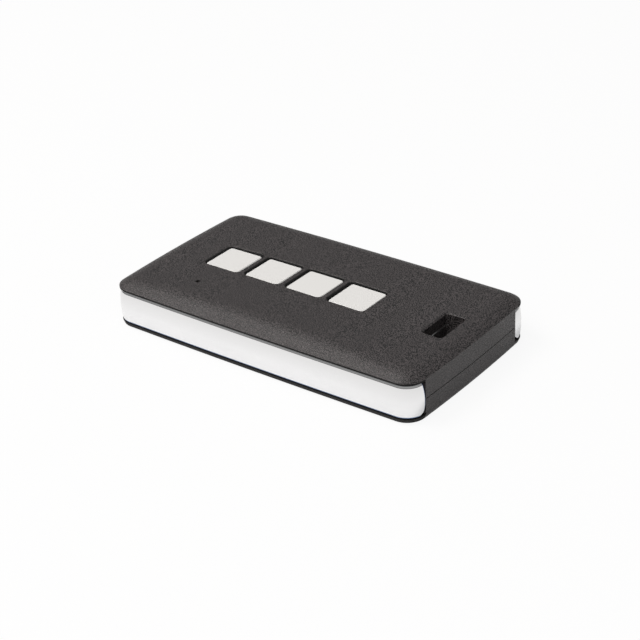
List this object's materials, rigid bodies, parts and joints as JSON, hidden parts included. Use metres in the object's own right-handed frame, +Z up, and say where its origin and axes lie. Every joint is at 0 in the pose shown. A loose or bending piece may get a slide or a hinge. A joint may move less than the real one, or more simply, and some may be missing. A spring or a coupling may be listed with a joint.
{
  "type": "wi-fi remote control",
  "caption": "Slim hand-held wi-fi transmitter with a row of square push keys, a lanyard slot and chromed side trims.",
  "frame": {"origin": "middle of the flat underside, the face it lies on", "axes": "+X along the case to the lanyard slot, -Y the front long side with its trim, +Z up through the keys"},
  "size_m": [0.0752, 0.0416, 0.0108],
  "materials": {
    "case_plastic": "fine-grained matt black",
    "key_plastic": "satin warm white",
    "chromed_trim": "bright chrome plate on moulded plastic",
    "screw_steel": "dark zinc",
    "board_laminate": "green solder mask",
    "cell_can": "satin nickel plate",
    "contact_brass": "bright",
    "tinned_steel": "tinned",
    "chip_plastic": "moulded black",
    "stem_plastic": "moulded",
    "indicator_plastic": "clear epoxy"
  },
  "bodies": {
    "case": {"top_cover": "case_plastic", "bottom_cover": "case_plastic", "side_trim_front": "chromed_trim", "side_trim_rear": "chromed_trim", "housing_screws": "screw_steel", "circuit_board": "board_laminate", "coin_cell": "cell_can", "battery_clip": "contact_brass", "battery_pad": "contact_brass", "wifi_module": "board_laminate", "wifi_shield": "tinned_steel", "wifi_antenna": "contact_brass", "microcontroller": "chip_plastic", "crystal": "tinned_steel", "voltage_regulator": "chip_plastic", "status_led": "indicator_plastic", "capacitors": "chip_plastic", "resistors": "chip_plastic", "switch_1_base": "chip_plastic", "switch_1_terminals": "tinned_steel", "switch_1_dome": "tinned_steel", "switch_1_frame": "tinned_steel", "switch_2_base": "chip_plastic", "switch_2_terminals": "tinned_steel", "switch_2_dome": "tinned_steel", "switch_2_frame": "tinned_steel", "switch_3_base": "chip_plastic", "switch_3_terminals": "tinned_steel", "switch_3_dome": "tinned_steel", "switch_3_frame": "tinned_steel", "switch_4_base": "chip_plastic", "switch_4_terminals": "tinned_steel", "switch_4_dome": "tinned_steel", "switch_4_frame": "tinned_steel"},
    "button_1": {"button_1": "key_plastic", "switch_1_stem": "stem_plastic"},
    "button_2": {"button_2": "key_plastic", "switch_2_stem": "stem_plastic"},
    "button_3": {"button_3": "key_plastic", "switch_3_stem": "stem_plastic"},
    "button_4": {"button_4": "key_plastic", "switch_4_stem": "stem_plastic"}
  },
  "joints": [
    {"name": "button_1_press", "type": "slide", "parent": "case", "child": "button_1", "axis": [0, 0, -1], "range_m": [0, 0.00025], "stiffness_N_per_m": 4000, "springref_m": -0.0001, "deforming": ["switch_1_dome"]},
    {"name": "button_2_press", "type": "slide", "parent": "case", "child": "button_2", "axis": [0, 0, -1], "range_m": [0, 0.00025], "stiffness_N_per_m": 4000, "springref_m": -0.0001, "deforming": ["switch_2_dome"]},
    {"name": "button_3_press", "type": "slide", "parent": "case", "child": "button_3", "axis": [0, 0, -1], "range_m": [0, 0.00025], "stiffness_N_per_m": 4000, "springref_m": -0.0001, "deforming": ["switch_3_dome"]},
    {"name": "button_4_press", "type": "slide", "parent": "case", "child": "button_4", "axis": [0, 0, -1], "range_m": [0, 0.00025], "stiffness_N_per_m": 4000, "springref_m": -0.0001, "deforming": ["switch_4_dome"]}
  ]
}
